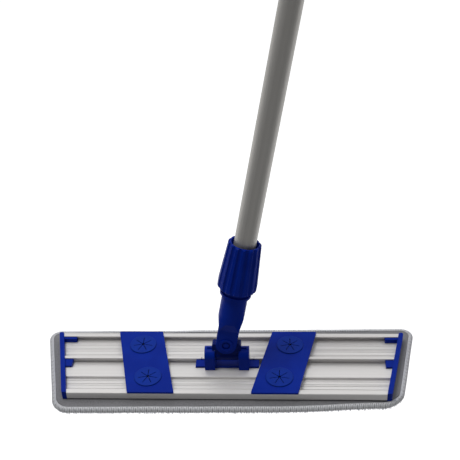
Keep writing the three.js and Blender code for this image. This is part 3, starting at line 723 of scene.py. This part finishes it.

# %% [markdown]
# ## Ribbed edging tape
#
# A knitted tape is folded over the rim and overlocked, which draws it into fine ribs across
# its width. The tape is one flat strip bent into a C and swept round the outline. Its rings
# sit a fraction of a rib apart, so pushing them in and out by turns makes true ribs, and each
# point remembers how high it is on its rib, for painted shade that darkens the grooves.

# %% Weave the tape
RIB_PITCH = 2.1 * MM
RINGS_PER_RIB = 4
RIB_DEPTH = 0.4 * MM
TAPE_MIDDLE = 5.2      # mm: the height where a rib is pushed straight out
TAPE_REACH = 5.0       # mm above and below that, where it is pushed straight up or down
OUTER_POINTS = 12      # this many points of the section lie on the outside and carry ribs
# Across the tape, from its top inner edge over the rim to its lower inner edge: how far in
# from the rim, and how high.
TAPE_SECTION = [
    (4.4, 7.75), (4.0, 8.2), (3.2, 8.45), (2.3, 8.3), (1.4, 7.8), (0.6, 6.9), (0.15, 5.6),
    (0.1, 4.4), (0.5, 3.0), (1.4, 1.9), (2.6, 1.4), (3.6, 1.3),
    (3.6, 2.2), (2.4, 2.7), (1.5, 4.4), (1.6, 5.7), (2.1, 6.7), (3.0, 7.4), (4.2, 7.2),
]


def tape_knit():
    recipe = Recipe.named("ribbed_tape")
    place = recipe.place()
    rib = recipe.carried("rib")
    fibre = recipe.noise(place, 2600, 3, 0.7)
    wear = recipe.noise(place, 30, 3)
    # Painted shade: the grooves between the ribs are painted dark and the rib tops pale.
    colour = recipe.ramp(rib * 0.75 + fibre * 0.35, [
        (0.18, (0.13, 0.13, 0.14)), (0.46, (0.72, 0.73, 0.75)), (0.95, (0.92, 0.93, 0.95))])
    colour = recipe.mix(wear * 0.25, colour, (0.62, 0.62, 0.63))
    return recipe.surface(
        Base_Color=colour, Roughness=0.92, Specular_IOR_Level=0.12, Sheen_Weight=0.2, Sheen_Roughness=0.5,
        Normal=recipe.bump(fibre, 0.18 * MM))


def curve_round_edge(name, rings):
    curve = bpy.data.curves.new(name, "CURVE")
    curve.dimensions = "3D"
    curve.twist_mode = "Z_UP"
    spline = curve.splines.new("POLY")
    spline.points.add(rings - 1)
    for index, point in enumerate(spline.points):
        here, _ = edge_point(EDGE_LENGTH * index / rings)
        point.co = (here.x, here.y, 0, 1)
    spline.use_cyclic_u = True
    return curve


def section_curve(name, section):
    curve = bpy.data.curves.new(name, "CURVE")
    curve.dimensions = "2D"
    spline = curve.splines.new("POLY")
    spline.points.add(len(section) - 1)
    for point, (inset, height) in zip(spline.points, section):
        point.co = (-inset * MM, height * MM, 0, 1)
    spline.use_cyclic_u = True
    return curve


def swept_tape():
    rings = round(EDGE_LENGTH / RIB_PITCH) * RINGS_PER_RIB
    path = bpy.data.objects.new("tape_path", curve_round_edge("tape_path", rings))
    section = bpy.data.objects.new("tape_section", section_curve("tape_section", TAPE_SECTION))
    bpy.context.scene.collection.objects.link(path)
    bpy.context.scene.collection.objects.link(section)
    path.data.bevel_mode = "OBJECT"
    path.data.bevel_object = section
    mesh = evaluated_mesh(path)
    bpy.data.objects.remove(path)
    bpy.data.objects.remove(section)
    print("tape:", rings, "rings,", len(mesh.vertices), "points")
    return mesh, rings


def rib_the_tape(mesh, rings):
    across = len(TAPE_SECTION)
    levels = []
    for index, vert in enumerate(mesh.vertices):
        ring, step = divmod(index, across)
        phase = (ring % RINGS_PER_RIB) / RINGS_PER_RIB
        height = 0.5 - 0.5 * math.cos(2 * math.pi * phase)
        _, out = edge_point(EDGE_LENGTH * ring / rings)
        levels.append(height)
        if step < OUTER_POINTS:
            fall = (vert.co.z / MM - TAPE_MIDDLE) / TAPE_REACH
            push = Vector((out.x, out.y, 0)) * (1 - abs(fall)) + Vector((0, 0, fall))
            vert.co = vert.co + push.normalized() * RIB_DEPTH * (height - 0.5)
    carried = mesh.attributes.new("rib", "FLOAT", "POINT")
    carried.data.foreach_set("value", levels)


tape_finish = tape_knit()
tape_mesh, tape_rings = swept_tape()
rib_the_tape(tape_mesh, tape_rings)
ripple_mesh(tape_mesh)
tape_mesh.shade_smooth()
tape_mesh.materials.clear()
tape_mesh.materials.append(tape_finish)
tape = bpy.data.objects.new("pad_tape", tape_mesh)
bpy.context.scene.collection.objects.link(tape)
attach(tape, "pad")
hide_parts("pad_binding")
tape_box = [min(v.co[i] for v in tape_mesh.vertices) for i in range(3)]
print("tape from", [round(value, 4) for value in tape_box])

# %% [markdown]
# ## Overlock stitches
#
# An overlocker throws a thread back and forth over the raw edge. Seen from above it is a
# row of fine slanted bars between a straight seam and the rim. Both threads are curves that
# follow the tape's own section, a hair above it: one zigzags over the rim, and one runs
# along the inner edge in short dips, like any lockstitch.

# %% Sew the edge
THREAD_RADIUS = 0.24 * MM
STITCH_PITCH = RIB_PITCH * 1.5
SEAM_PITCH = 2.4 * MM
SEAM_STEPS = 4         # points in one stitch of the seam
OVER_THE_RIM = TAPE_SECTION[1:9]


def thread_yarn():
    recipe = Recipe.named("overlock_yarn")
    place = recipe.place()
    twist = recipe.noise(place, 3400, 2)
    soil = recipe.noise(place, 60, 3)
    colour = recipe.mix(soil, (0.66, 0.67, 0.70), (0.90, 0.91, 0.94))
    return recipe.surface(
        Base_Color=colour, Roughness=0.8, Specular_IOR_Level=0.2, Sheen_Weight=0.15, Sheen_Roughness=0.5,
        Normal=recipe.bump(twist, 0.12 * MM))


yarn = thread_yarn()


def tape_point(distance, inset, height, lift):
    here, out = edge_point(distance)
    spread = Vector((out.x, out.y)) * (lift * 0.5 - inset)
    return rippled(Vector((here.x + spread.x, here.y + spread.y, height + lift)))


def zigzag_points():
    stitches = round(EDGE_LENGTH / STITCH_PITCH)
    points = []
    for stitch in range(stitches):
        start = EDGE_LENGTH * stitch / stitches
        out_and_back = OVER_THE_RIM + OVER_THE_RIM[-2:0:-1]
        for step, (inset, height) in enumerate(out_and_back):
            distance = start + STITCH_PITCH * step / len(out_and_back)
            lift = THREAD_RADIUS * 1.5
            points.append(tape_point(distance, (inset - 0.1) * MM, height * MM, lift))
    return points


def seam_points():
    steps = round(EDGE_LENGTH / SEAM_PITCH) * SEAM_STEPS
    inset, height = TAPE_SECTION[0]
    points = []
    for step in range(steps):
        dip = THREAD_RADIUS * (0.9 + 1.1 * math.sin(math.pi * (step % SEAM_STEPS) / SEAM_STEPS))
        distance = EDGE_LENGTH * step / steps
        points.append(tape_point(distance, (inset + 0.3) * MM, height * MM, dip))
    return points


def sewn_thread(name, points, radius):
    curve = bpy.data.curves.new(name, "CURVE")
    curve.dimensions = "3D"
    curve.bevel_depth = radius
    curve.bevel_resolution = 0
    spline = curve.splines.new("POLY")
    spline.points.add(len(points) - 1)
    for point, place in zip(spline.points, points):
        point.co = (*place, 1)
    spline.use_cyclic_u = True
    holder = bpy.data.objects.new(name + "_path", curve)
    bpy.context.scene.collection.objects.link(holder)
    mesh = evaluated_mesh(holder)
    bpy.data.objects.remove(holder)
    mesh.shade_smooth()
    mesh.materials.clear()
    mesh.materials.append(yarn)
    thread = bpy.data.objects.new(name, mesh)
    bpy.context.scene.collection.objects.link(thread)
    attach(thread, "pad")
    print(f"{name}: {len(mesh.polygons)} faces")
    return thread


sewn_thread("pad_overlock_thread", zigzag_points(), THREAD_RADIUS)
sewn_thread("pad_seam_thread", seam_points(), THREAD_RADIUS * 1.25)

# %% [markdown]
# ## Microfibre pile
#
# The working side is a carpet of soft microfibre tufts, a few millimetres each, that peek
# out a little all round. Thousands are needed, so one small patch of bent, tapering tufts is
# made from cones, and copies of the patch, turned at random, are laid side by side. A second
# row of single tufts leans outwards under the tape. The same random seed gives the same pile.

# %% Spin the microfibre
PILE_SPACING = 2.7 * MM
PATCH_TUFTS = 8
TUFT_TOP = 4.6 * MM
PILE_MARGIN = 4.2 * MM          # the patches stop this far inside the rim
RIM_TUFT_SPACING = 1.7 * MM
PILE_LOWEST = 0.15 * MM
random.seed(20)


def microfibre():
    recipe = Recipe.named("microfibre_pile")
    place = recipe.place()
    strand = recipe.noise(place, 1500, 3, 0.7)
    clump = recipe.noise(place, 140, 3)
    # Painted shade: points higher in the pile, towards the roots, are painted darker; clumps also vary the
    # tone at random.
    deep = recipe.part(place, "Z") * 160.0
    colour = recipe.mix(strand, (0.62, 0.68, 0.80), (0.88, 0.91, 0.97))
    colour = recipe.mix((clump * 0.4 + deep * 0.25).clamped(), colour, (0.55, 0.60, 0.72))
    return recipe.surface(
        Base_Color=colour, Roughness=0.95, Specular_IOR_Level=0.1, Sheen_Weight=0.35, Sheen_Roughness=0.45,
        Normal=recipe.bump(strand, 0.3 * MM))


def add_tuft(bm, root, lean, length, thick):
    """One tapering tuft, hanging from its root and leaning over."""
    made = bmesh.ops.create_cone(
        bm, segments=5, radius1=thick * 0.35, radius2=thick, depth=length, cap_ends=True,
        cap_tris=False)["verts"]
    twist = Matrix.Rotation(random.uniform(0, math.tau), 4, "Z")
    place = Matrix.Translation(root + Vector((lean.x, lean.y, -length)) * 0.5)
    tilt = Vector((-lean.x, -lean.y, length)).to_track_quat("Z", "Y").to_matrix().to_4x4()
    bmesh.ops.transform(bm, matrix=place @ tilt @ twist, verts=made)
    return made


def pile_patch():
    bm = bmesh.new()
    for column in range(PATCH_TUFTS):
        for row in range(PATCH_TUFTS):
            wander = Vector((random.uniform(-0.4, 0.4), random.uniform(-0.4, 0.4), 0)) * PILE_SPACING
            middle = (PATCH_TUFTS - 1) / 2
            root = Vector((column - middle, row - middle, 0)) * PILE_SPACING + wander
            lean = Vector((random.uniform(-1.3, 1.3), random.uniform(-1.3, 1.3), 0)) * MM
            add_tuft(bm, root, lean, random.uniform(3.6, 4.4) * MM, random.uniform(1.0, 1.5) * MM)
    patch = bpy.data.meshes.new("pile_patch")
    bm.to_mesh(patch)
    bm.free()
    return patch


def inside_pad(point, margin):
    local = PAD_TURN.inverted() @ point
    if not PAD_LOW[1] + margin < local.y < PAD_HIGH[1] - margin:
        return False
    if abs(local.x) > pad_half_length(local.y) - margin:
        return False
    corner_y = PAD_LOW[1] if local.y < 0 else PAD_HIGH[1]
    radius = corner_radius(local.x, local.y)
    short = Vector((
        abs(local.x) - (pad_half_length(corner_y) - radius), abs(local.y) - (abs(corner_y) - radius)))
    return min(short) < 0 or short.length < radius - margin


def pile():
    patch = pile_patch()
    step = PATCH_TUFTS * PILE_SPACING
    bm = bmesh.new()
    columns = math.ceil(pad_half_length(PAD_HIGH[1]) / step)
    rows = math.ceil(PAD_HIGH[1] / step)
    for column in range(-columns, columns + 1):
        for row in range(-rows, rows + 1):
            first = len(bm.verts)
            bm.from_mesh(patch)
            bm.verts.ensure_lookup_table()
            turn = Matrix.Rotation(random.randrange(4) * math.pi / 2, 4, "Z")
            place = Matrix.Translation((column * step, row * step, TUFT_TOP)) @ turn
            bmesh.ops.transform(bm, matrix=place, verts=bm.verts[first:])
    outside = [vert for vert in bm.verts if not inside_pad(vert.co, PILE_MARGIN)]
    spoiled = {face for vert in outside for face in vert.link_faces}
    islands = {vert for face in spoiled for vert in whole_tuft(face)}
    bmesh.ops.delete(bm, geom=list(islands), context="VERTS")
    add_rim_tufts(bm)
    low = min(vert.co.z for vert in bm.verts)
    bmesh.ops.translate(bm, verts=bm.verts, vec=(0, 0, PILE_LOWEST - low))
    return bm


def whole_tuft(face):
    """All points joined to a face."""
    found, queue = set(face.verts), list(face.verts)
    while queue:
        for edge in queue.pop().link_edges:
            for vert in edge.verts:
                if vert not in found:
                    found.add(vert)
                    queue.append(vert)
    return found


def add_rim_tufts(bm):
    count = round(EDGE_LENGTH / RIM_TUFT_SPACING)
    row = bmesh.new()
    for index in range(count):
        distance = EDGE_LENGTH * index / count + random.uniform(-0.4, 0.4) * MM
        here, out = edge_point(distance)
        out3 = Vector((out.x, out.y, 0))
        root = Vector((here.x, here.y, 3.2 * MM)) - out3 * random.uniform(2.2, 3.4) * MM
        outward = out3 * random.uniform(1.6, 3.0) * MM
        lean = outward + Vector((out.y, -out.x, 0)) * random.uniform(-1, 1) * MM
        add_tuft(row, root, lean, random.uniform(2.2, 3.0) * MM, random.uniform(0.7, 1.0) * MM)
    edge = bpy.data.meshes.new("rim_tufts")
    row.to_mesh(edge)
    row.free()
    bm.from_mesh(edge)


pile_piece = keep_mesh(pile(), "pad_pile", microfibre(), math.radians(80))
for vert in pile_piece.data.vertices:
    vert.co = pulled_in(vert.co)
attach(pile_piece, "pad")
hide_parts("pad_microfibre_face")
print("pile:", len(pile_piece.data.polygons), "faces")

# %% [markdown]
# ## Hook strips
#
# Two black tapes under the frame hold the pad by its loops. A hook tape is a woven band with
# rows of tiny nylon hooks. Each hook here is a short bent stem from a few faces, laid out in
# staggered rows, and the band between them carries a plain weave in its finish.


# %% Make the hook tape
HOOK_PITCH = 2.2 * MM
HOOK_HEIGHT = 0.7 * MM
HOOK_EDGE = 2.0 * MM
HOOK_TIP = 0.20 * MM
HOOK_ROOT = 0.32 * MM
HOOK_BEND = 0.35 * MM


def hook_nylon():
    recipe = Recipe.named("hook_nylon")
    place = recipe.place()
    weave = (recipe.part(place, "X") * 5200.0).sine() * (recipe.part(place, "Y") * 5200.0).sine()
    dust = recipe.noise(place, 220, 4, 0.7)
    colour = recipe.mix((dust - 0.35).clamped(), (0.012, 0.012, 0.013), (0.075, 0.075, 0.078))
    return recipe.surface(
        Base_Color=colour, Roughness=0.62 + (dust - 0.5) * 0.2, Specular_IOR_Level=0.35,
        Normal=recipe.bump(weave, 0.12 * MM))


def hook_tape(node_name, finish):
    strip = merged_copy(node_name)
    low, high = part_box(node_name)
    one = bmesh.new()
    bmesh.ops.create_cone(
        one, segments=4, radius1=HOOK_TIP, radius2=HOOK_ROOT, depth=HOOK_HEIGHT, cap_ends=True,
        cap_tris=False)
    bend = [vert for vert in one.verts if vert.co.z < 0]
    bmesh.ops.translate(one, verts=bend, vec=(HOOK_BEND, 0, 0))
    hook = bpy.data.meshes.new(node_name + "_hook")
    one.to_mesh(hook)
    one.free()
    rows = int((high[1] - low[1] - 2 * HOOK_EDGE) / HOOK_PITCH)
    line = bmesh.new()
    for index in range(int(2 * FRAME_HALF_LENGTH / HOOK_PITCH)):
        first = len(line.verts)
        line.from_mesh(hook)
        line.verts.ensure_lookup_table()
        place = (index * HOOK_PITCH - FRAME_HALF_LENGTH, 0, 0)
        bmesh.ops.translate(line, verts=line.verts[first:], vec=place)
    hook_line = bpy.data.meshes.new(node_name + "_line")
    line.to_mesh(hook_line)
    line.free()
    field = bmesh.new()
    for row in range(rows + 1):
        first = len(field.verts)
        field.from_mesh(hook_line)
        field.verts.ensure_lookup_table()
        stagger = row % 2 * HOOK_PITCH / 2
        shift = (stagger, low[1] + HOOK_EDGE + row * HOOK_PITCH, low[2] - HOOK_HEIGHT * 0.4)
        bmesh.ops.translate(field, verts=field.verts[first:], vec=shift)
    trim_hooks(field, low, high)
    everything = bpy.data.meshes.new(node_name + "_hooks")
    field.to_mesh(everything)
    field.free()
    strip.from_mesh(everything)
    piece = keep_mesh(strip, node_name + "_fine", finish)
    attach(piece, "head")
    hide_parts(node_name)
    print(f"{node_name}: {rows + 1} rows of hooks, {len(piece.data.polygons)} faces")
    return piece


def trim_hooks(bm, low, high):
    """Hooks past the slanted ends of the strip go."""
    end_gap = high[0] - END_SLANT * high[1]
    past = [
        face for face in bm.faces
        if abs(face.calc_center_median().x) > end_gap + END_SLANT * face.calc_center_median().y - HOOK_EDGE
    ]
    islands = {vert for face in past for vert in whole_tuft(face)}
    bmesh.ops.delete(bm, geom=list(islands), context="VERTS")


nylon = hook_nylon()
for node_name in ("hook_strip_back", "hook_strip_front"):
    hook_tape(node_name, nylon)

# %% [markdown]
# ## Floor, light and camera
#
# The mop is shown on a pale floor in a light tent. The head hangs in the air here, because
# the pole is what is held: the floor lies low enough to let the head swing to its limits
# without cutting through it. Behind the mop it is a light table, which keeps it pale while
# the lamps stay low enough for the aluminium and the deep blue. In front it is greyer and
# unlit, so that it throws less light up on the swivel.

# %% Lay the floor
FLOOR_Z = -0.30
FLOOR_SIZE = 6.0
TABLE_GLOW = 0.5
floor_bm = bmesh.new()
bmesh.ops.create_grid(floor_bm, x_segments=2, y_segments=2, size=FLOOR_SIZE)
bmesh.ops.translate(floor_bm, verts=floor_bm.verts, vec=(0, 0, FLOOR_Z))


def floor_paint():
    recipe = Recipe.named("pale_floor")
    place = recipe.place()
    cloud = recipe.noise(place, 3, 2)
    behind = (recipe.part(place, "Y") * 0.8 + 0.2).clamped()
    paint = recipe.ramp(behind, [(0.0, (0.55, 0.55, 0.55)), (0.35, (0.96, 0.96, 0.96))])
    colour = recipe.mix(cloud * 0.05, paint, (0.80, 0.80, 0.80))
    lit = recipe.ramp(behind, [(0.0, (0.0, 0.0, 0.0)), (0.35, (1.0, 1.0, 1.0))])
    return recipe.surface(
        Base_Color=colour, Roughness=0.9, Emission_Color=lit, Emission_Strength=TABLE_GLOW)


floor = keep_mesh(floor_bm, "floor", floor_paint())
print("floor at", FLOOR_Z)

# %% Light the tent
world = bpy.data.worlds.new("tent")
bpy.context.scene.world = world
tent = Recipe(world, "Background")
towards = tent.node("ShaderNodeTexCoord", output="Generated")
towards_back = tent.part(towards, "Y")
upwards = tent.part(towards, "Z")
towards_side = tent.part(towards, "X").size()
glow = (towards_back * 0.40 + upwards * 0.34 + towards_side * 0.20 + 0.20).clamped()
tent.surface(Color=tent.ramp(glow, [
    (0.0, (0.13, 0.13, 0.13)), (0.35, (0.19, 0.19, 0.195)), (0.65, (0.50, 0.50, 0.50)),
    (1.0, (0.80, 0.80, 0.80))]))
world.node_tree.nodes["Background"].inputs["Strength"].default_value = 1.0


def softbox(name, place, aim, size, watts):
    light = bpy.data.lights.new(name, "AREA")
    light.shape = "RECTANGLE"
    light.size, light.size_y = size
    light.energy = watts
    lamp = bpy.data.objects.new(name, light)
    lamp.location = place
    lamp.rotation_euler = (Vector(aim) - Vector(place)).to_track_quat("-Z", "Y").to_euler()
    bpy.context.scene.collection.objects.link(lamp)


softbox("key", (-0.55, -0.05, 2.1), (0, 0, 0.1), (0.6, 0.6), 15)
softbox("back", (0.0, 1.5, 2.9), (0, 1.5, -0.3), (3.4, 1.6), 22)
print("lights set")

# %% Set the camera
CAMERA_AZIMUTH = math.radians(4.21)
CAMERA_ELEVATION = math.radians(33.79)
CAMERA_ROLL = math.radians(-2.61)
CAMERA_DISTANCE = 1.329
CAMERA_AIM = Vector((-0.0104, 0.2796, 0.020))
CAMERA_LENS = 72.5
camera_data = bpy.data.cameras.new("camera")
camera_data.lens = CAMERA_LENS
camera_data.sensor_width = 36
camera = bpy.data.objects.new("camera", camera_data)
back = Vector((
    math.sin(CAMERA_AZIMUTH) * math.cos(CAMERA_ELEVATION),
    -math.cos(CAMERA_AZIMUTH) * math.cos(CAMERA_ELEVATION),
    math.sin(CAMERA_ELEVATION)))
level_right = Vector((0, 0, 1)).cross(back).normalized()
level_up = back.cross(level_right)
right = math.cos(CAMERA_ROLL) * level_right + math.sin(CAMERA_ROLL) * level_up
up = back.cross(right)
camera.matrix_world = Matrix.Translation(CAMERA_AIM + back * CAMERA_DISTANCE) @ Matrix(
    (right, up, back)).transposed().to_4x4()
bpy.context.scene.collection.objects.link(camera)
bpy.context.scene.camera = camera
bpy.context.scene.view_settings.view_transform = "Standard"
print("camera at", [round(value, 3) for value in camera.location])
